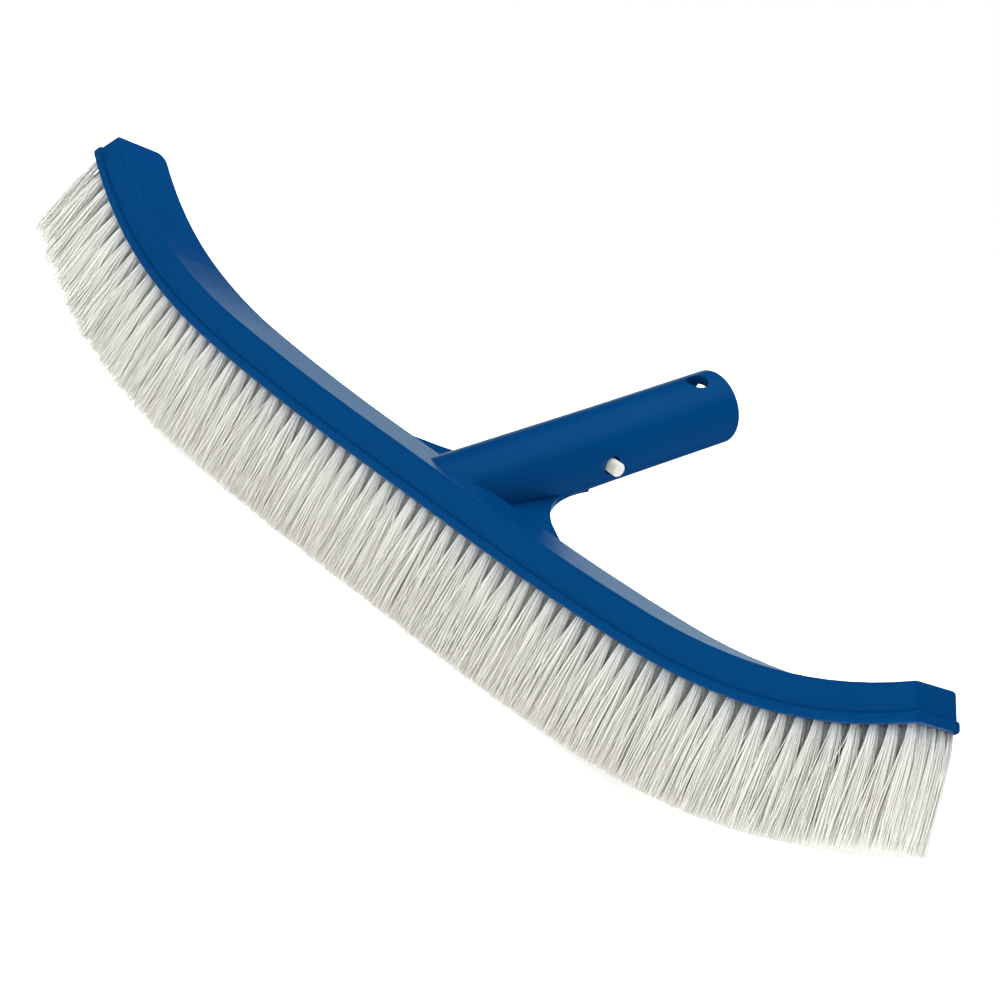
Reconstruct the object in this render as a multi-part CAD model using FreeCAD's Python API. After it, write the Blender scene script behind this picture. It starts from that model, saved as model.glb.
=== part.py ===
# Curved pool wall brush: a moulded back with a tube handle, a snap-button clip and 340 bristle tufts.
# Millimetres. X runs along the brush, Y across it towards the handle, Z up, away from the bristle tips.
# The shapes are built on the bristle tips' level, and written out from the middle of the handle's
# plain stretch.
import FreeCAD
import Part
import math
import os

Vec = FreeCAD.Vector

# Bristle field
COLUMNS = 68               # tufts along the brush
ROWS = 5                   # tufts across the brush
PITCH = 6.7                # between columns, along the back
ROW_PITCH = 5.35           # between rows
HOLE_D = 3.2               # tuft hole in the back
HOLE_DEPTH = 8.0
BRISTLE_LENGTH = 39.0      # from the back's underside to the tips
TIP_D = 5.0                # a tuft's spread at its tips
TUFT_CLEARANCE = 0.05      # tuft to hole wall, radial
FAN_SHARE = 0.55           # part of the back's local slope that the tufts still lean by at their tips
STAPLE_T = 0.5
STAPLE_H = 2.0
STAPLE_CLEARANCE = 0.1     # staple to hole wall, at each end
ZONES = ("left", "centre", "right")

# Back: half of its underside is a flat run, then three arcs that turn its end up
FLAT_RUN = 40.0
ARC_RUNS = ((75.0, 3.5), (45.0, 9.7))    # length along the back, degrees turned
END_ARC_TURN = 21.8                      # degrees turned by the last arc, which takes the length left
END_MARGIN = 3.2           # last tuft column to the end of the back
BACK_H = 13.0              # underside to top
TOP_W = 26.8
SHOULDER_W = 27.6          # width just above the rim
RIM_W = 29.4
RIM_H = 3.7
RIM_EDGE_R = 1.0
TOP_EDGE_R = 1.2
FRONT_CORNER_R = 1.6       # the back's upright corners, away from the handle
REAR_CORNER_R = 5.0        # and on the handle's side

# Handle tube
TUBE_TILT = 60.3           # degrees between the tube's axis and +Z
TUBE_BEHIND = 11.0         # axis behind the rear top edge, where it crosses the top's level
TUBE_OD = 28.2             # its plain stretch, which goes into a pole
TUBE_ROOT_OD = 28.8        # where it crosses the top's level, for the mould's draft
PLAIN_LENGTH = 58.0        # the plain stretch, from the mouth
TUBE_WALL = 3.4
TUBE_LENGTH = 110.0        # from the top's level to the mouth, along the axis
TUBE_FLOOR = 6.0           # the same, to the floor of the blind bore
TUBE_SINK = 2.0            # how far its front sinks into the back
MOUTH_EDGE_R = 0.8
PIN_HOLE_D = 8.6           # cross hole near the mouth
PIN_HOLE_FROM_MOUTH = 11.3

# Webs between the tube and the rear of the back
WEB_T = 3.0
WEB_FLATTER = 9.7          # degrees by which the webs lie flatter than the tube's axis
WEB_DROP = 6.0             # from the top down to the webs' upper face, on the rear face
WEB_SPAN = 123.4           # tip to tip, where the webs run out on the rear face
WEB_SIDE_X = 9.0           # where the webs' blends end on the tube, sideways from its axis
WEB_TOP = 28.1             # from the rear face to where the straight edges would meet that line
WEB_BLEND_R = 45.0
WEB_SINK = 5.0             # how far the webs run into the back

# Snap-button clip
BUTTON_FROM_MOUTH = 63.5
BUTTON_D = 5.4
BUTTON_HOLE_D = 7.4
BUTTON_PROUD = 4.0         # outside the tube at rest
BUTTON_EDGE_R = 1.1
CLIP_T = 2.0
CLIP_W = 9.0
CLIP_CLEARANCE = 0.3       # clip to bore
CLIP_BEND_H = 8.0          # bend's height, up to the arms' roots
CLIP_CORNER_R = 4.5
ARM_PAST_BUTTON = 5.0
KNUCKLE_CLEARANCE = 0.1

HALF_FIELD = (COLUMNS - 1) / 2 * PITCH
HALF_BACK = HALF_FIELD + END_MARGIN
RIM_OVERHANG = (RIM_W - SHOULDER_W) / 2
HALF_RIM = HALF_BACK + RIM_OVERHANG
TOP_Z = BRISTLE_LENGTH + BACK_H
RIM_TOP_Z = BRISTLE_LENGTH + RIM_H
TILT = math.radians(TUBE_TILT)
ALONG = Vec(0, math.sin(TILT), math.cos(TILT))       # tube axis, towards the mouth
FRONT = Vec(0, -math.cos(TILT), math.sin(TILT))      # across the tube, towards its front
TUBE_FOOT = Vec(0, TOP_W / 2 + TUBE_BEHIND, TOP_Z)   # the axis at the top's level
WEB_LEAN = math.radians(TUBE_TILT + WEB_FLATTER)
WEB_ALONG = Vec(0, math.sin(WEB_LEAN), math.cos(WEB_LEAN))
WEB_UP = Vec(0, -math.cos(WEB_LEAN), math.sin(WEB_LEAN))
WEB_FOOT = Vec(0, TOP_W / 2, TOP_Z - WEB_DROP)       # the webs' upper face on the rear face
BORE_R = TUBE_OD / 2 - TUBE_WALL
PLAIN_FROM = TUBE_LENGTH - PLAIN_LENGTH
BUTTON_AT = TUBE_LENGTH - BUTTON_FROM_MOUTH
ARM_OUTER = math.sqrt(BORE_R ** 2 - (CLIP_W / 2) ** 2) - CLIP_CLEARANCE
HINGE_AT = TUBE_FLOOR + CLIP_BEND_H
HINGE_X = ARM_OUTER - CLIP_T / 2
REACH = 10 * TUBE_OD                                 # longer than any cut has to be
ORIGIN = TUBE_FOOT + ALONG * (PLAIN_FROM + TUBE_LENGTH - MOUTH_EDGE_R) * 0.5


def runs_to(half_length):
    """The runs of half a spine: length and degrees turned, the last one taking what is left."""
    fixed = [(FLAT_RUN, 0.0)] + list(ARC_RUNS)
    used = sum(length for length, _ in fixed)
    last = HALF_BACK - used
    turn = END_ARC_TURN * (half_length - used) / last
    return fixed + [(half_length - used, turn)]


def spine_pose(s):
    """Place and slope (radians) of the underside's centre line at s along it from the middle."""
    x, z, slope, left = 0.0, BRISTLE_LENGTH, 0.0, abs(s)
    for length, turn in runs_to(max(HALF_BACK, abs(s))):
        step = min(left, length)
        bend = math.radians(turn) * step / length
        chord = step if bend == 0 else step * math.sin(bend / 2) / (bend / 2)
        x += chord * math.cos(slope + bend / 2)
        z += chord * math.sin(slope + bend / 2)
        slope += bend
        left -= step
    side = -1 if s < 0 else 1
    return Vec(side * x, 0, z), side * slope


def section_at(points, s):
    """A closed section of the back, given as (across, height) points, stood up at s."""
    origin, slope = spine_pose(s)
    up = Vec(-math.sin(slope), 0, math.cos(slope))
    corners = [origin + Vec(0, across, 0) + up * height for across, height in points]
    return Part.Face(Part.makePolygon(corners + corners[:1]))


def swept(points, half_length):
    """The solid that a section leaves along the spine: straight in the middle, turned along each arc."""
    pieces = [section_at(points, -FLAT_RUN).extrude(Vec(2 * FLAT_RUN, 0, 0))]
    start = FLAT_RUN
    for length, turn in runs_to(half_length)[1:]:
        radius = length / math.radians(turn)
        for side in (-1, 1):
            origin, slope = spine_pose(side * start)
            centre = origin + Vec(-math.sin(slope), 0, math.cos(slope)) * radius
            pieces.append(section_at(points, side * start).revolve(centre, Vec(0, -side, 0), turn))
        start += length
    return pieces[0].multiFuse(pieces[1:]).removeSplitter()


def height_on_back(point):
    """Height above the underside, measured square to it."""
    low, high = 0.0, 1.5 * HALF_RIM
    for _ in range(60):
        s = (low + high) / 2
        origin, slope = spine_pose(s)
        ahead = (abs(point.x) - origin.x) * math.cos(slope) + (point.z - origin.z) * math.sin(slope)
        low, high = (s, high) if ahead > 0 else (low, s)
    origin, slope = spine_pose(low)
    return (point.z - origin.z) * math.cos(slope) - (abs(point.x) - origin.x) * math.sin(slope)


def middle_of(edge):
    """The point half way along an edge's parameter."""
    return edge.valueAt((edge.FirstParameter + edge.LastParameter) / 2)


def is_upright(edge):
    """True for an edge that climbs square to the underside at one end of the back."""
    heights = [height_on_back(v.Point) for v in edge.Vertexes]
    return len(heights) == 2 and abs(heights[0] - heights[1]) > 0.9 * edge.Length


def rounded_bar(points, half_length, corner_growth, edge_rs):
    """A swept bar with round upright corners, and a rounding for each given height of its outline."""
    bar = swept(points, half_length)
    for side, radius in ((-1, FRONT_CORNER_R), (1, REAR_CORNER_R)):
        corners = [e for e in bar.Edges if is_upright(e) and middle_of(e).y * side > BACK_H / 2]
        bar = bar.makeFillet(radius + corner_growth, corners)
    for height, radius in edge_rs:
        ring = [e for e in bar.Edges
                if abs(height_on_back(middle_of(e)) - height) < 0.01
                and not is_upright(e) and not is_seam(e, points, half_length)]
        bar = bar.makeFillet(radius, ring)
    return bar


def is_seam(edge, points, half_length):
    """True for an edge that crosses the bar from side to side where two runs meet."""
    width = max(abs(across) for across, _ in points)
    end = spine_pose(half_length)[0].x - BACK_H
    crosses = abs(edge.tangentAt(edge.FirstParameter).y) > 0.9
    return crosses and edge.Length > width and abs(middle_of(edge).x) < end


def back_bar():
    """The back above its rim, with a small draft on its long sides."""
    flare = SHOULDER_W / 2 + (SHOULDER_W - TOP_W) / 2 * RIM_H / (BACK_H - RIM_H)
    section = [(-flare, 0), (flare, 0), (TOP_W / 2, BACK_H), (-TOP_W / 2, BACK_H)]
    return rounded_bar(section, HALF_BACK, 0, [(BACK_H, TOP_EDGE_R)])


def rim_bar():
    """The wider rim that runs round the underside."""
    half = RIM_W / 2
    section = [(-half, 0), (half, 0), (half, RIM_H), (-half, RIM_H)]
    return rounded_bar(section, HALF_RIM, RIM_OVERHANG, [(0, RIM_EDGE_R), (RIM_H, RIM_EDGE_R)])


def in_tube(x, along, front=0.0):
    """A point given by its place in the tube: sideways, along the axis, and towards the front."""
    return TUBE_FOOT + Vec(x, 0, 0) + ALONG * along + FRONT * front


def tube_cylinder(radius, start, end):
    """A solid on the tube's axis between two distances along it."""
    return Part.makeCylinder(radius, end - start, in_tube(0, start), ALONG)


def rear_block(front_y, front_z):
    """All space that the handle may fill: above the rim behind front_y, and above front_z before it."""
    outline = [(front_y, RIM_TOP_Z), (REACH, RIM_TOP_Z), (REACH, REACH), (-REACH, REACH), (-REACH, front_z),
               (front_y, front_z)]
    corners = [Vec(-REACH, y, z) for y, z in outline]
    return Part.Face(Part.makePolygon(corners + corners[:1])).extrude(Vec(2 * REACH, 0, 0))


def tube_blank():
    """The tube's outside: drafted, then plain, rounded at its mouth and cut off where it meets the back."""
    plain = tube_cylinder(TUBE_OD / 2, PLAIN_FROM, TUBE_LENGTH)
    mouth = [e for e in plain.Edges if (middle_of(e) - in_tube(0, TUBE_LENGTH)).dot(ALONG) > -0.01]
    plain = plain.makeFillet(MOUTH_EDGE_R, mouth)
    below = 2 * TUBE_OD
    flare = (TUBE_ROOT_OD - TUBE_OD) / 2 / PLAIN_FROM
    root_r = TUBE_ROOT_OD / 2 + flare * below
    root = Part.makeCone(root_r, TUBE_OD / 2, PLAIN_FROM + below, in_tube(0, -below), ALONG)
    return plain.fuse(root).common(rear_block(0, TOP_Z - TUBE_SINK))


def on_web(x, out):
    """A point of the webs' upper face: sideways, and out from the rear face."""
    return WEB_FOOT + Vec(x, 0, 0) + WEB_ALONG * out


def web_plate():
    """Both webs in one plate: straight edges that run out on the rear face and blend into the tube."""
    run = WEB_SPAN / 2 - WEB_SIDE_X
    slant = math.atan2(WEB_TOP, run)
    blend = WEB_BLEND_R / math.tan((math.pi / 2 + slant) / 2)    # from the corner to each end of its round
    top = WEB_TOP + blend
    start_x, start_out = WEB_SIDE_X + blend * math.cos(slant), WEB_TOP - blend * math.sin(slant)
    swing = (math.pi / 2 - slant) / 2                            # half of the turn round the blend's centre
    mid_x = WEB_SIDE_X + WEB_BLEND_R * (1 - math.cos(swing))
    mid_out = top - WEB_BLEND_R * math.sin(swing)
    tip_x = WEB_SPAN / 2 + WEB_SINK / math.tan(slant)
    parts = []
    for side in (1, -1):
        tip, start = on_web(side * tip_x, -WEB_SINK), on_web(side * start_x, start_out)
        mid, end = on_web(side * mid_x, mid_out), on_web(side * WEB_SIDE_X, top)
        parts.append(Part.LineSegment(tip, start).toShape())
        parts.append(Part.Arc(start, mid, end).toShape())
        parts.append(Part.LineSegment(end, on_web(0, top)).toShape())
    parts.append(Part.LineSegment(on_web(tip_x, -WEB_SINK), on_web(-tip_x, -WEB_SINK)).toShape())
    outline = Part.Wire(Part.__sortEdges__(parts))
    plate = Part.Face(outline).extrude(WEB_UP * -WEB_T)
    return plate.common(rear_block(TOP_W / 2 - WEB_SINK, REACH))


def tuft_pose(column, row):
    """Where a tuft's hole opens in the underside, and the underside's slope there."""
    root, slope = spine_pose((column - (COLUMNS - 1) / 2) * PITCH)
    return root + Vec(0, (row - (ROWS - 1) / 2) * ROW_PITCH, 0), slope


def at_every_tuft(make):
    """What make(slope) gives at each hole, by (column, row), with its own Z square to the underside."""
    placed = {}
    for column in range(COLUMNS):
        shape = make(tuft_pose(column, 0)[1])
        for row in range(ROWS):
            root, slope = tuft_pose(column, row)
            copy = shape.copy()
            copy.Placement = FreeCAD.Placement(root, FreeCAD.Rotation(Vec(0, 1, 0), -math.degrees(slope)))
            placed[column, row] = copy
    return placed


def hole_cutter(slope):
    """The tool for one blind tuft hole, from a little below the underside."""
    start = HOLE_D
    return Part.makeCylinder(HOLE_D / 2, HOLE_DEPTH + start, Vec(0, 0, -start))


def tuft(slope):
    """One tuft: a neck with a slot for its staple, and a spreading brush that leans back from the slope."""
    neck_r = HOLE_D / 2 - TUFT_CLEARANCE
    neck = Part.makeCylinder(neck_r, HOLE_DEPTH)
    lean = (1 - FAN_SHARE) * slope
    down = Vec(-math.sin(lean), 0, -math.cos(lean))
    root_ring = Part.Wire(Part.makeCircle(neck_r, Vec(0, 0, 0), Vec(0, 0, -1)))
    tip_ring = Part.Wire(Part.makeCircle(TIP_D / 2, down * BRISTLE_LENGTH, down))
    cone = Part.makeLoft([root_ring, tip_ring], True, True)
    slot = Part.makeBox(HOLE_D, STAPLE_T, STAPLE_H, Vec(-HOLE_D / 2, -STAPLE_T / 2, HOLE_DEPTH - STAPLE_H))
    return neck.fuse(cone).removeSplitter().cut(slot)


def staple(slope):
    """One flat staple that anchors a tuft at the bottom of its hole."""
    width = HOLE_D - 2 * STAPLE_CLEARANCE
    return Part.makeBox(width, STAPLE_T, STAPLE_H, Vec(-width / 2, -STAPLE_T / 2, HOLE_DEPTH - STAPLE_H))


def moulding():
    """The one-piece moulding as four nodes that meet face to face: the back, the tube and its two webs."""
    back = back_bar().fuse(rim_bar()).removeSplitter()
    blank = tube_blank()
    webs = web_plate().cut([back, blank])
    left, right = sorted(webs.Solids, key=lambda solid: solid.CenterOfMass.x)
    across = 2 * TUBE_OD
    button_hole = Part.makeCylinder(BUTTON_HOLE_D / 2, across, in_tube(-TUBE_OD, BUTTON_AT), Vec(1, 0, 0))
    pin_at = TUBE_LENGTH - PIN_HOLE_FROM_MOUTH
    pin_hole = Part.makeCylinder(PIN_HOLE_D / 2, across, in_tube(0, pin_at, -TUBE_OD), FRONT)
    bore = tube_cylinder(BORE_R, TUBE_FLOOR, TUBE_LENGTH + TUBE_WALL)
    tube = blank.cut([back, bore, button_hole, pin_hole])
    back = back.cut(Part.makeCompound(list(at_every_tuft(hole_cutter).values())))
    return {"brush_back": back, "handle_tube": tube, "web_left": left, "web_right": right}


def across_tube(face_points, width):
    """A plate of the given width across the tube, from an outline of (sideways, along) points."""
    corners = [in_tube(x, along, -width / 2) for x, along in face_points]
    return Part.Face(Part.makePolygon(corners + corners[:1])).extrude(FRONT * width)


def knuckle(side, radius):
    """A round pin the width of the clip on one arm's hinge line."""
    return Part.makeCylinder(radius, CLIP_W, in_tube(side * HINGE_X, HINGE_AT, -CLIP_W / 2), FRONT)


def clip_bend():
    """The clip's U-shaped bend, which rests on the bore's floor and seats both arms' knuckles."""
    outer = [(-ARM_OUTER, TUBE_FLOOR), (ARM_OUTER, TUBE_FLOOR), (ARM_OUTER, HINGE_AT), (-ARM_OUTER, HINGE_AT)]
    inside = ARM_OUTER - CLIP_T
    inner = [(-inside, TUBE_FLOOR + CLIP_T), (inside, TUBE_FLOOR + CLIP_T), (inside, HINGE_AT + CLIP_T),
             (-inside, HINGE_AT + CLIP_T)]
    shell = foot_rounded(across_tube(outer, CLIP_W), CLIP_CORNER_R, TUBE_FLOOR)
    hollow = foot_rounded(across_tube(inner, CLIP_W), CLIP_CORNER_R - CLIP_T, TUBE_FLOOR + CLIP_T)
    seats = [knuckle(side, CLIP_T / 2 + KNUCKLE_CLEARANCE) for side in (-1, 1)]
    return shell.cut([hollow] + seats)


def foot_rounded(plate, radius, foot):
    """A clip plate with its two lower corners rounded."""
    corners = [e for e in plate.Edges
               if abs(abs(e.tangentAt(e.FirstParameter).dot(FRONT)) - 1) < 1e-6
               and abs((middle_of(e) - TUBE_FOOT).dot(ALONG) - foot) < 0.01]
    return plate.makeFillet(radius, corners)


def clip_arm(side):
    """One spring arm with its button, turning on the knuckle at its root."""
    low, high = side * (ARM_OUTER - CLIP_T), side * ARM_OUTER
    end = BUTTON_AT + ARM_PAST_BUTTON
    blade = across_tube([(low, HINGE_AT), (high, HINGE_AT), (high, end), (low, end)], CLIP_W)
    length = TUBE_OD / 2 + BUTTON_PROUD - HINGE_X
    button = Part.makeCylinder(BUTTON_D / 2, length, in_tube(side * HINGE_X, BUTTON_AT), Vec(side, 0, 0))
    tip = [e for e in button.Edges if abs(middle_of(e).x) > TUBE_OD / 2 and e.isClosed()]
    button = button.makeFillet(BUTTON_EDGE_R, tip)
    return blade.multiFuse([button, knuckle(side, CLIP_T / 2)]).removeSplitter()


def zone_of(column):
    """The third of the brush that a tuft column is in, the same number of columns at each end."""
    side_columns = round(COLUMNS / len(ZONES))
    return ZONES[0 if column < side_columns else 2 if column >= COLUMNS - side_columns else 1]


def sub_parts():
    """Every node's shape, by name."""
    nodes = moulding()
    nodes.update({"clip_bend": clip_bend(), "clip_arm_left": clip_arm(-1), "clip_arm_right": clip_arm(1)})
    tufts = at_every_tuft(tuft)
    staples = at_every_tuft(staple)
    for row in range(ROWS):
        for zone in ZONES:
            group = [shape for (column, at), shape in tufts.items() if at == row and zone_of(column) == zone]
            nodes["bristles_row%d_%s" % (row + 1, zone)] = Part.makeCompound(group)
        row_staples = [shape for (_, at), shape in staples.items() if at == row]
        nodes["staples_row%d" % (row + 1)] = Part.makeCompound(row_staples)
    return nodes


os.makedirs("parts", exist_ok=True)
for name, shape in sub_parts().items():
    shape.translate(ORIGIN * -1)
    shape.exportStep("parts/%s.step" % name)
    print("%-24s %4d solids %12.2f mm3 valid %s" % (name, len(shape.Solids), shape.Volume, shape.isValid()))
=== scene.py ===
"""Pool wall brush: every bristle, the moulded finishes, soft studio light and the view.

Lengths are metres. X runs along the brush, Y across it towards the handle, Z up, away from the bristle tips.
"""
import math

import bpy
import numpy as np
from mathutils import Matrix, Vector


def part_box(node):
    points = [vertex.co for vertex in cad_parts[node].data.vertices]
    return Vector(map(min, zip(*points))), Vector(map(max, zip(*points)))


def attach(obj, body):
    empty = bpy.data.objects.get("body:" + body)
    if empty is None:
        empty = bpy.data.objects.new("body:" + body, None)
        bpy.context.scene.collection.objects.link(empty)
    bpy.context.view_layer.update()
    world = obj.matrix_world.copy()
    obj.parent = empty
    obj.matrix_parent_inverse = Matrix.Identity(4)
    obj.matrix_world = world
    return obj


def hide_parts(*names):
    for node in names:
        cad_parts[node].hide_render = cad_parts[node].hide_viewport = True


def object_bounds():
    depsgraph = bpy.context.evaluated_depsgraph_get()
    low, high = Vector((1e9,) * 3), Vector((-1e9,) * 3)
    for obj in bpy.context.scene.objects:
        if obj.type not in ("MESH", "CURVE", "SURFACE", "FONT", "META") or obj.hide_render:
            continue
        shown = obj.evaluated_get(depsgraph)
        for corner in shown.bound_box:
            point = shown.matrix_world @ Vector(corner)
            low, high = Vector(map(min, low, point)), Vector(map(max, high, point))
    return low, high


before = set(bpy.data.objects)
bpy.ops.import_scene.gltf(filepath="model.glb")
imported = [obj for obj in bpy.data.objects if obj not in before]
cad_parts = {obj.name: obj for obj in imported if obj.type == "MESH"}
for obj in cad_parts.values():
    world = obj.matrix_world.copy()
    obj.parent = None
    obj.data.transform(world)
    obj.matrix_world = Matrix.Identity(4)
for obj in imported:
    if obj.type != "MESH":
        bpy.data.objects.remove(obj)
CAD_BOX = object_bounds()

MIDDLE_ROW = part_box("bristles_row3_centre")
STAND = Vector((0, (MIDDLE_ROW[0].y + MIDDLE_ROW[1].y) / 2, CAD_BOX[0].z))    # the middle of the bristle tips

MM = 0.001
ROWS = 5
ZONES = ("left", "centre", "right")
TUFTS_PER_ROW = 68
HOLE_DEPTH = 8.0 * MM
STAPLE_HEIGHT = 2.0 * MM
BRISTLE_LENGTH = 39.0 * MM
FAN_SHARE = 0.55              # part of the back's slope that the bristles still lean by at their tips

FILAMENTS = 92                # to a tuft
FILAMENT_R = 0.175 * MM
FILAMENT_SIDES = 4
FILAMENT_RINGS = 6
TIP_SHARE = 0.8               # a filament's last ring, of its radius
PACKED_R = 1.32 * MM          # the bundle's radius in its hole
START_DEPTH = 1.2 * MM        # how far up its hole a filament starts
ROOT_SPLAY = 0.1              # tangent of the outermost filaments' lean as they leave the hole
ROOT_WANDER = 0.025           # and how unevenly they do so
ROOT_HANDLE = 0.2             # how far the line's first handle reaches, of its length
TIP_HANDLE = 0.34             # and its last one
TIP_FALL = 0.3                # how much of the tuft's own direction a filament has at its tip
TIP_WANDER = 0.08
TIP_SPREAD = (4.6 * MM, 2.9 * MM)        # half the bundle's width at the tips, along and across the brush
TIP_SCATTER = 0.95 * MM
STRAY_SHARE = 0.12            # filaments that scatter further
STRAY_SCATTER = 3.4 * MM
TUFT_SCATTER = 0.5 * MM       # of a whole tuft's tips
CUT_SCATTER = 0.2 * MM        # how unevenly the tips are trimmed
STRAY_CUT_SCATTER = 0.5 * MM
END_TUFTS = 3                 # tufts at each end of a row whose spread is held back on the outside
END_HOLD = 0.25               # what is left of the last tuft's spread there
SEED = 41


# ---------------------------------------------------------------- bristles

def hole_poses(row):
    """Each hole's mouth (n, 3) and the back's slope there (n,), from the staples at the holes' bottoms.

    A staple is a flat block, so the middle of its box is its own, and the long axis of its corners'
    spread in the XZ plane lies along the back. The mouth is one hole depth down from the block's top.
    """
    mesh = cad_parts["staples_row%d" % row].data
    points = np.empty(len(mesh.vertices) * 3, np.float32)
    mesh.vertices.foreach_get("co", points)
    points = points.reshape(-1, 3).astype(float)
    points = points[np.argsort(points[:, 0])].reshape(TUFTS_PER_ROW, -1, 3)
    middle = (points.min(1) + points.max(1)) / 2
    flat = (points - middle[:, None])[:, :, (0, 2)]
    spread = np.einsum("nki,nkj->nij", flat, flat)
    along = np.linalg.eigh(spread)[1][:, :, 1]
    slope = np.arctan(along[:, 1] / along[:, 0])
    up = np.stack([-np.sin(slope), np.zeros_like(slope), np.cos(slope)], 1)
    return middle - up * (HOLE_DEPTH - STAPLE_HEIGHT / 2), slope


def unit(vectors):
    """The same vectors at length one."""
    return vectors / np.linalg.norm(vectors, axis=-1, keepdims=True)


def filament_lines(mouths, slopes, hold, rng):
    """Centre lines (tufts, filaments, rings, 3) of all the filaments of some tufts.

    Each line is a cubic Bezier curve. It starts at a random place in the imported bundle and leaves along
    the hole with a little outward splay. It ends on the trimmed tip surface, which runs from each tuft's
    middle along the line through its neighbours' middles. There the bundle's round is stretched out to
    a rectangle, so that neighbours mix evenly, plus scatter, and a few stray filaments scatter further.
    Nothing is longer than the trim. At the ends of a row the outward half of the spread is scaled down,
    as trimmed brushes show.
    """
    tufts = len(mouths)
    shape = (tufts, FILAMENTS)
    radius = np.sqrt(rng.uniform(0, 1, shape))
    turn = rng.uniform(0, 2 * math.pi, shape)
    disc = np.stack([radius * np.cos(turn), radius * np.sin(turn)], -1)
    zero, one = np.zeros(tufts), np.ones(tufts)
    lean = FAN_SHARE * slopes

    def down_at(angle):
        return np.stack([np.sin(angle), zero, -np.cos(angle)], 1)[:, None]

    across = np.stack([zero, one, zero], 1)[:, None]
    along0 = np.stack([np.cos(slopes), zero, np.sin(slopes)], 1)[:, None]
    down0, down1 = down_at(slopes), down_at(lean)
    stray = rng.uniform(0, 1, shape) < STRAY_SHARE
    scatter = rng.normal(0, 1, shape + (2,)) * np.where(stray, STRAY_SCATTER, TIP_SCATTER)[..., None]
    scatter[..., 1] /= 2
    lean_of_tuft = rng.normal(0, TUFT_SCATTER, (tufts, 1, 2))
    square = disc / np.maximum(np.abs(np.cos(turn)), np.abs(np.sin(turn)))[..., None]
    tip_disc = square * np.array(TIP_SPREAD) + scatter + lean_of_tuft
    outward = np.sign(slopes)[:, None] * tip_disc[..., 0]
    held = np.where(outward > 0, hold[:, None], 1.0)
    tip_disc[..., 0] *= held
    trim = -np.abs(rng.normal(0, CUT_SCATTER, shape))
    trim = trim - np.abs(rng.normal(0, STRAY_CUT_SCATTER, shape)) * stray
    packed = along0 * disc[..., :1] + across * disc[..., 1:]
    start = mouths[:, None] + packed * PACKED_R - down0 * START_DEPTH
    middles = mouths + down1[:, 0] * BRISTLE_LENGTH
    surface = unit(np.gradient(middles, axis=0))[:, None]
    tip = middles[:, None] + down1 * trim[..., None]
    tip = tip + surface * tip_disc[..., :1] + across * tip_disc[..., 1:]
    reach = np.linalg.norm(tip - start, axis=-1, keepdims=True)
    leave = unit(down0 + packed * ROOT_SPLAY + rng.normal(0, ROOT_WANDER, shape + (3,)))
    arrive = TIP_FALL * down1 + (1 - TIP_FALL) * unit(tip - start)
    arrive = unit(arrive + rng.normal(0, TIP_WANDER, shape + (3,)))
    handle0 = start + leave * reach * ROOT_HANDLE
    handle1 = tip - arrive * reach * TIP_HANDLE
    t = np.linspace(0, 1, FILAMENT_RINGS)[:, None]
    weights = [(1 - t) ** 3, 3 * t * (1 - t) ** 2, 3 * t * t * (1 - t), t ** 3]
    points = [start, handle0, handle1, tip]
    return sum(w * p[..., None, :] for w, p in zip(weights, points))


def strands_mesh(name, lines, tones):
    """One mesh of four-sided strands along some lines, closed at both ends, with each strand's tone stored.

    At each ring the section is a square whose corners lie one filament radius from the line, on two
    directions square to the line's own; the last ring is a little smaller, for the cut tip's edge. The
    two directions and the line's own are right-handed, and the faces are wound against that, so they
    look inwards.
    """
    count, rings = lines.shape[0], lines.shape[1]
    sides = FILAMENT_SIDES
    heading = unit(np.gradient(lines, axis=1))
    side_a = unit(np.cross(heading, (0.0, 1.0, 0.0)))
    side_b = np.cross(heading, side_a)
    turn = 2 * math.pi * np.arange(sides) / sides
    radius = np.full(rings, FILAMENT_R)
    radius[-1] *= TIP_SHARE
    ring = side_a[:, :, None] * np.cos(turn)[:, None] + side_b[:, :, None] * np.sin(turn)[:, None]
    points = lines[:, :, None] + ring * radius[:, None, None]
    base = (np.arange(count) * rings * sides)[:, None, None]
    step = (np.arange(rings - 1) * sides)[None, :, None]
    now = np.arange(sides)
    after = (now + 1) % sides
    quads = np.stack([base + step + now, base + step + sides + now,
                      base + step + sides + after, base + step + after], -1).reshape(-1, 4)
    root_cap = base[:, 0] + now
    tip_cap = base[:, 0] + (rings - 1) * sides + now[::-1]
    faces = np.concatenate([quads, root_cap, tip_cap]).astype(np.int32)
    mesh = bpy.data.meshes.new(name)
    mesh.vertices.add(points.size // 3)
    mesh.vertices.foreach_set("co", points.astype(np.float32).ravel())
    mesh.loops.add(faces.size)
    mesh.loops.foreach_set("vertex_index", faces.ravel())
    mesh.polygons.add(len(faces))
    mesh.polygons.foreach_set("loop_start", np.arange(len(faces), dtype=np.int32) * sides)
    mesh.polygons.foreach_set("use_smooth", np.ones(len(faces), bool))
    mesh.update(calc_edges=True)
    for label, values in (("tone", np.repeat(tones, rings * sides)),
                          ("down", np.tile(np.repeat(np.linspace(0, 1, rings), sides), count))):
        attribute = mesh.attributes.new(label, "FLOAT", "POINT")
        attribute.data.foreach_set("value", values.astype(np.float32))
    return mesh


def add_piece(name, mesh, material):
    """A new object for a mesh that already lies in place."""
    piece = bpy.data.objects.new(name, mesh)
    bpy.context.scene.collection.objects.link(piece)
    piece.data.materials.append(material)
    return piece


def zone_columns(zone):
    """The columns of one third of the brush, as a slice."""
    side = round(TUFTS_PER_ROW / len(ZONES))
    edges = (0, side, TUFTS_PER_ROW - side, TUFTS_PER_ROW)
    at = ZONES.index(zone)
    return slice(edges[at], edges[at + 1])


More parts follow.
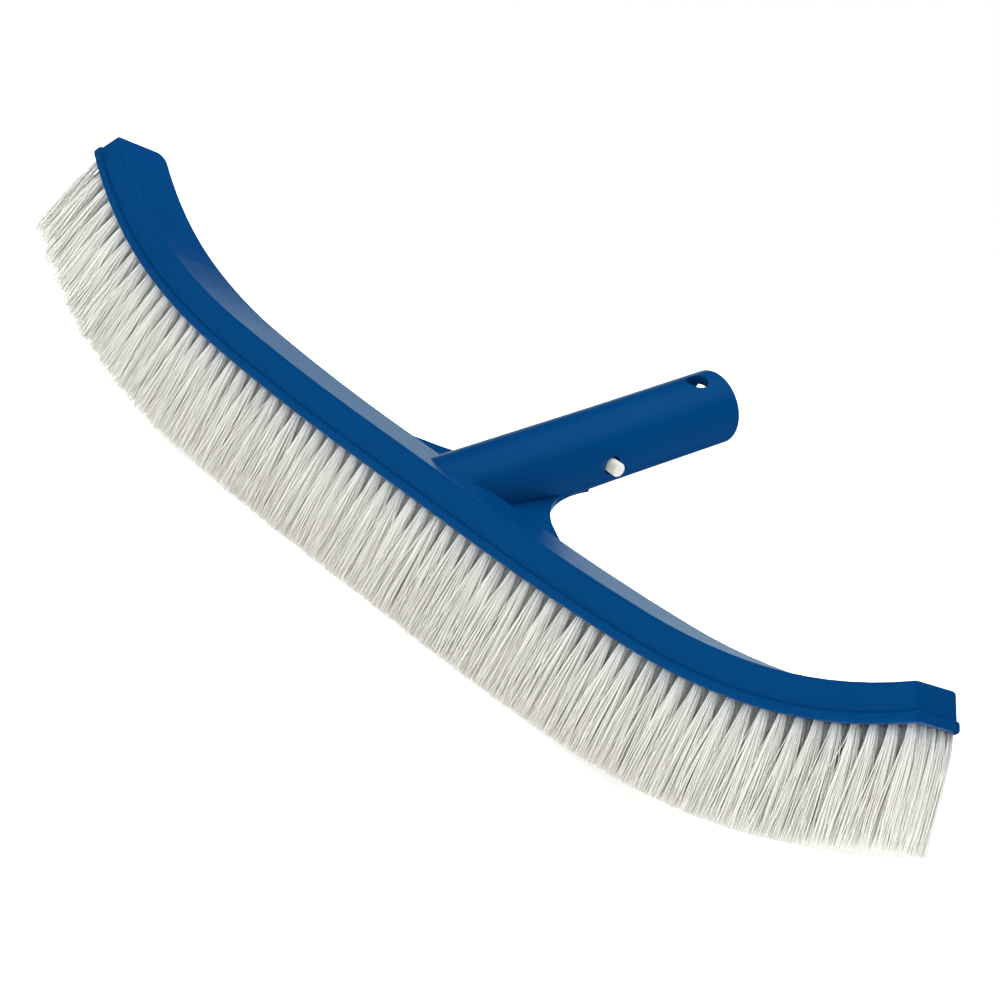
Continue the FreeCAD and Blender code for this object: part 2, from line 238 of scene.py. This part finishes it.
def make_bristles(material):
    """The filaments of every tuft, one piece for each third of a row."""
    rng = np.random.default_rng(SEED)
    from_end = np.minimum(np.arange(TUFTS_PER_ROW), np.arange(TUFTS_PER_ROW)[::-1])
    hold = np.clip(END_HOLD + (1 - END_HOLD) * from_end / END_TUFTS, 0, 1)
    for row in range(1, ROWS + 1):
        mouths, slopes = hole_poses(row)
        for zone in ZONES:
            part = zone_columns(zone)
            lines = filament_lines(mouths[part], slopes[part], hold[part], rng)
            lines = lines.reshape(-1, FILAMENT_RINGS, 3)
            tones = rng.uniform(0, 1, len(lines))
            node = "bristles_row%d_%s" % (row, zone)
            piece = add_piece("filaments_row%d_%s" % (row, zone), strands_mesh(node, lines, tones), material)
            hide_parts(node)
            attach(piece, "brush")


# ---------------------------------------------------------------- materials

def node_group(name, inputs, outputs):
    """An empty shader group with named sockets; returns it with its two ends."""
    group = bpy.data.node_groups.new(name, "ShaderNodeTree")
    for label, kind, value in inputs:
        socket = group.interface.new_socket(label, in_out="INPUT", socket_type=kind)
        if value is not None:
            socket.default_value = value
    for label, kind in outputs:
        group.interface.new_socket(label, in_out="OUTPUT", socket_type=kind)
    return group, group.nodes.new("NodeGroupInput"), group.nodes.new("NodeGroupOutput")


def math_node(group, operation, a, b):
    """A Math node fed with sockets or numbers."""
    node = group.nodes.new("ShaderNodeMath")
    node.operation = operation
    for socket, value in zip(node.inputs, (a, b)):
        if isinstance(value, (int, float)):
            socket.default_value = value
        else:
            group.links.new(value, socket)
    return node.outputs[0]


def noise(group, vector, scale, detail, roughness=0.5):
    """A Noise texture's value, from 0 to 1."""
    node = group.nodes.new("ShaderNodeTexNoise")
    node.inputs["Detail"].default_value = detail
    node.inputs["Roughness"].default_value = roughness
    node.inputs["Scale"].default_value = scale
    group.links.new(vector, node.inputs["Vector"])
    return node.outputs["Fac"]


def mixed(group, kind, places, values):
    """A Mix node of a data type, with its share and its two ends fed with sockets or constants."""
    node = group.nodes.new("ShaderNodeMix")
    node.data_type = kind
    for place, value in zip(places, values):
        if hasattr(value, "is_linked"):
            group.links.new(value, node.inputs[place])
        else:
            node.inputs[place].default_value = value
    return node


def mixed_value(group, share, low, high):
    """Two values mixed by a share."""
    return mixed(group, "FLOAT", (0, 2, 3), (share, low, high)).outputs[0]


def mixed_colour(group, share, low, high):
    """Two colours mixed by a share."""
    return mixed(group, "RGBA", (0, 6, 7), (share, low, high)).outputs[2]


def moulded_skin_group():
    """Faint waviness, flow shading and handling marks of a glossy moulding: colour, roughness and height."""
    group, start, end = node_group(
        "moulded_skin",
        [("Vector", "NodeSocketVector", None), ("Colour", "NodeSocketColor", (1, 1, 1, 1)),
         ("Flow Colour", "NodeSocketColor", (1, 1, 1, 1)), ("Roughness", "NodeSocketFloat", 0.2),
         ("Roughness Spread", "NodeSocketFloat", 0.1), ("Ripple", "NodeSocketFloat", 1.0)],
        [("Colour", "NodeSocketColor"), ("Roughness", "NodeSocketFloat"), ("Height", "NodeSocketFloat")])
    place = start.outputs["Vector"]
    flow = noise(group, place, scale=22.0, detail=2.0)
    marks = noise(group, place, scale=260.0, detail=4.0, roughness=0.62)
    smears = noise(group, place, scale=48.0, detail=3.0, roughness=0.55)
    ripple = noise(group, place, scale=150.0, detail=1.0)
    colour = mixed_colour(group, flow, start.outputs["Colour"], start.outputs["Flow Colour"])
    spread = math_node(group, "SUBTRACT", math_node(group, "MULTIPLY", marks, smears), 0.25)
    spread = math_node(group, "MULTIPLY", spread, start.outputs["Roughness Spread"])
    rough = math_node(group, "ADD", start.outputs["Roughness"], spread)
    height = math_node(group, "MULTIPLY", ripple, start.outputs["Ripple"])
    group.links.new(colour, end.inputs["Colour"])
    group.links.new(rough, end.inputs["Roughness"])
    group.links.new(height, end.inputs["Height"])
    return group


def plain_material(name):
    """A material with its Principled shader, ready for its own values."""
    material = bpy.data.materials.new(name)
    material.use_nodes = True
    return material, material.node_tree, material.node_tree.nodes["Principled BSDF"]


def moulded_plastic(name, skin, colour, flow_colour, roughness, spread, ripple, settings):
    """Glossy injection-moulded plastic with the shared skin group."""
    material, tree, shader = plain_material(name)
    for label, value in settings.items():
        shader.inputs[label].default_value = value
    coordinates = tree.nodes.new("ShaderNodeTexCoord")
    surface = tree.nodes.new("ShaderNodeGroup")
    surface.node_tree = skin
    tree.links.new(coordinates.outputs["Object"], surface.inputs["Vector"])
    surface.inputs["Colour"].default_value = colour
    surface.inputs["Flow Colour"].default_value = flow_colour
    surface.inputs["Roughness"].default_value = roughness
    surface.inputs["Roughness Spread"].default_value = spread
    surface.inputs["Ripple"].default_value = ripple
    bump = tree.nodes.new("ShaderNodeBump")
    bump.inputs["Strength"].default_value = 0.25
    bump.inputs["Distance"].default_value = 0.05 * MM
    tree.links.new(surface.outputs["Height"], bump.inputs["Height"])
    tree.links.new(surface.outputs["Colour"], shader.inputs["Base Color"])
    tree.links.new(surface.outputs["Roughness"], shader.inputs["Roughness"])
    tree.links.new(bump.outputs["Normal"], shader.inputs["Normal"])
    return material


def nylon_filament():
    """Off-white nylon: each filament has its own tone, and all carry a painted shade towards the root.

    The painted shade is a bluish grey standing in for the shade between the tufts and the blue back's bounced
    light; it fades out over the first two fifths of the filament.
    """
    material, tree, shader = plain_material("nylon_filament")
    tone = tree.nodes.new("ShaderNodeAttribute")
    tone.attribute_name = "tone"
    down = tree.nodes.new("ShaderNodeAttribute")
    down.attribute_name = "down"
    body = mixed_colour(tree, tone.outputs["Fac"], (0.75, 0.735, 0.67, 1), (0.97, 0.955, 0.885, 1))
    # painted shade: a bluish grey towards the root stands in for the shade between the tufts and the blue
    # back's bounced light, full at the root and gone at two fifths of the length
    share = math_node(tree, "MULTIPLY", down.outputs["Fac"], 2.4)
    share = math_node(tree, "MINIMUM", share, 1.0)
    colour = mixed_colour(tree, share, (0.68, 0.70, 0.71, 1), body)
    tree.links.new(colour, shader.inputs["Base Color"])
    gloss = math_node(tree, "ADD", math_node(tree, "MULTIPLY", tone.outputs["Fac"], 0.2), 0.28)
    tree.links.new(gloss, shader.inputs["Roughness"])
    shader.inputs["IOR"].default_value = 1.53
    return material


def drawn_steel():
    """Bright staple wire with fine drawing lines along its length."""
    material, tree, shader = plain_material("drawn_steel")
    shader.inputs["Metallic"].default_value = 1.0
    shader.inputs["Base Color"].default_value = (0.62, 0.61, 0.59, 1)
    coordinates = tree.nodes.new("ShaderNodeTexCoord")
    stretch = tree.nodes.new("ShaderNodeMapping")
    stretch.inputs["Scale"].default_value = (0.05, 1.0, 1.0)
    tree.links.new(coordinates.outputs["Object"], stretch.inputs["Vector"])
    lines = noise(tree, stretch.outputs["Vector"], scale=9000.0, detail=2.0)
    rough = math_node(tree, "ADD", math_node(tree, "MULTIPLY", lines, 0.25), 0.22)
    tree.links.new(rough, shader.inputs["Roughness"])
    return material


def finish_cad_nodes(blue, white, steel):
    """Gives every carried-over CAD node its finish."""
    for name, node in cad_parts.items():
        if name.startswith("bristles"):
            continue
        material = white if name.startswith("clip") else steel if name.startswith("staples") else blue
        node.data.materials.clear()
        node.data.materials.append(material)


# ---------------------------------------------------------------- stage, light and view

VIEW_AZIMUTH = 38.932
VIEW_ELEVATION = 8.746
VIEW_ROLL = 28.509
VIEW_FROM = Vector((0.68883, -0.81788, 0.21551))     # from the middle of the bristle tips
VIEW_LENS = 112.13
SENSOR = 36.0
MATT_LEVEL = 0.62             # the surroundings' brightness on matt surfaces
MIRRORED_TINT = (0.72, 0.93, 1.0, 1)
FLOOR_HALF = 12.0
FLOOR_GAP = 0.2 * MM          # from the floor up to the bristle tips
LIGHTS = {                    # place and height of the aim from the bristle tips, size, watts, colour
    "overhead": ((-0.1, 0.5, 1.6), 0.05, (1.8, 1.4), 33.0, (0.86, 0.96, 1.0)),
    "key": ((-1.1, -1.5, 1.0), 0.05, (1.2, 1.0), 8.5, (1, 1, 1)),
    "fill": ((1.4, -1.4, 0.45), 0.05, (1.2, 0.8), 6.0, (1, 1, 1)),
    "back_card": ((-0.6, 1.8, 0.7), 0.08, (2.4, 0.9), 6.0, (1, 1, 1)),
}


def make_camera():
    """A long-lens camera placed by its own position, turned to an azimuth, elevation and roll."""
    lens = bpy.data.cameras.new("view")
    lens.sensor_width = SENSOR
    lens.lens = VIEW_LENS
    lens.clip_start = 0.01
    lens.clip_end = 100.0
    camera = bpy.data.objects.new("view", lens)
    bpy.context.scene.collection.objects.link(camera)
    azimuth, elevation = math.radians(VIEW_AZIMUTH), math.radians(VIEW_ELEVATION)
    back = Vector((math.sin(azimuth) * math.cos(elevation), -math.cos(azimuth) * math.cos(elevation),
                   math.sin(elevation)))
    right = Vector((math.cos(azimuth), math.sin(azimuth), 0))
    up = back.cross(right)
    roll = math.radians(VIEW_ROLL)
    side = right * math.cos(roll) + up * math.sin(roll)
    top = back.cross(side)
    turned = Matrix((side, top, back)).transposed().to_4x4()
    camera.matrix_world = Matrix.Translation(STAND + VIEW_FROM) @ turned
    bpy.context.scene.camera = camera


def area_light(name, place, aim_height, size, power, colour):
    """A soft light that faces a point above the bristle tips and leaves no mirror image on gloss."""
    lamp = bpy.data.lights.new(name, "AREA")
    lamp.shape = "RECTANGLE"
    lamp.size, lamp.size_y = size
    lamp.energy = power
    lamp.color = colour
    light = bpy.data.objects.new(name, lamp)
    bpy.context.scene.collection.objects.link(light)
    light.location = STAND + Vector(place)
    light.rotation_mode = "QUATERNION"
    light.rotation_quaternion = (Vector((0, 0, aim_height)) - Vector(place)).to_track_quat("-Z", "Y")
    light.visible_glossy = False


def smooth_step(tree, value, span, levels):
    """A level that goes smoothly from the first to the second while a value crosses a span."""
    node = tree.nodes.new("ShaderNodeMapRange")
    node.interpolation_type = "SMOOTHSTEP"
    for label, number in zip(("From Min", "From Max", "To Min", "To Max"), span + levels):
        node.inputs[label].default_value = number
    tree.links.new(value, node.inputs["Value"])
    return node.outputs["Result"]


def make_world():
    """A white backdrop to the eye and soft light on matt surfaces.

    In reflections it is white only behind the brush, where the backdrop stands, soft straight overhead,
    and dark elsewhere, as a studio is: the level there is the larger of two smooth steps, one of the
    ray's heading along the view and one of its rise. The world is not sampled as a light, because those
    samples would bring the matt surfaces' level into the reflections.
    """
    world = bpy.data.worlds.new("studio")
    bpy.context.scene.world = world
    world.use_nodes = True
    world.cycles.sampling_method = "NONE"
    tree = world.node_tree
    tree.nodes.clear()
    path = tree.nodes.new("ShaderNodeLightPath")
    heading = tree.nodes.new("ShaderNodeTexCoord")
    azimuth = math.radians(VIEW_AZIMUTH)
    along_view = tree.nodes.new("ShaderNodeVectorMath")
    along_view.operation = "DOT_PRODUCT"
    along_view.inputs[1].default_value = (-math.sin(azimuth), math.cos(azimuth), 0.0)
    tree.links.new(heading.outputs["Generated"], along_view.inputs[0])
    parts = tree.nodes.new("ShaderNodeSeparateXYZ")
    tree.links.new(heading.outputs["Generated"], parts.inputs[0])
    backdrop = smooth_step(tree, along_view.outputs["Value"], (0.88, 1.0), (0.005, 0.55))
    ceiling = smooth_step(tree, parts.outputs["Z"], (0.8, 0.98), (0.0, 0.12))
    mirrored = math_node(tree, "MAXIMUM", backdrop, ceiling)
    shown = mixed_value(tree, path.outputs["Is Glossy Ray"], MATT_LEVEL, mirrored)
    level = mixed_value(tree, path.outputs["Is Camera Ray"], shown, 1.0)
    tint = mixed_colour(tree, path.outputs["Is Glossy Ray"], (1, 1, 1, 1), MIRRORED_TINT)
    background = tree.nodes.new("ShaderNodeBackground")
    tree.links.new(tint, background.inputs["Color"])
    tree.links.new(level, background.inputs["Strength"])
    output = tree.nodes.new("ShaderNodeOutputWorld")
    tree.links.new(background.outputs[0], output.inputs["Surface"])


def make_floor():
    """A wide pale sweep at the bristle tips' level, lit from behind like a light table."""
    material, tree, shader = plain_material("studio_floor")
    shader.inputs["Base Color"].default_value = (0.9, 0.9, 0.9, 1)
    shader.inputs["Roughness"].default_value = 0.9
    shader.inputs["Specular IOR Level"].default_value = 0.0
    shader.inputs["Emission Color"].default_value = (1, 1, 1, 1)
    shader.inputs["Emission Strength"].default_value = 0.6
    mesh = bpy.data.meshes.new("studio_floor")
    corners = [(x * FLOOR_HALF, y * FLOOR_HALF, 0) for x, y in ((-1, -1), (1, -1), (1, 1), (-1, 1))]
    mesh.from_pydata(corners, [], [(0, 1, 2, 3)])
    floor = add_piece("studio_floor", mesh, material)
    floor.location.z = CAD_BOX[0].z - FLOOR_GAP
    floor.visible_glossy = False


def make_lights():
    """A big overhead softbox, a key from the left front, a low front fill and a broad light behind."""
    for name, settings in LIGHTS.items():
        area_light(name, *settings)


skin = moulded_skin_group()
blue = moulded_plastic("blue_moulding", skin, colour=(0.0, 0.039, 0.146, 1),
                       flow_colour=(0.0, 0.047, 0.168, 1), roughness=0.2, spread=0.12, ripple=1.0,
                       settings={"IOR": 1.49, "Specular IOR Level": 0.45,
                                 "Specular Tint": (0.2, 0.8, 1.0, 1)})
white = moulded_plastic("white_clip", skin, colour=(0.70, 0.69, 0.63, 1),
                        flow_colour=(0.76, 0.75, 0.69, 1), roughness=0.3, spread=0.1, ripple=0.6,
                        settings={"IOR": 1.48})
finish_cad_nodes(blue, white, drawn_steel())
make_bristles(nylon_filament())
make_camera()
make_world()
make_floor()
make_lights()
bpy.context.scene.view_settings.view_transform = "Standard"
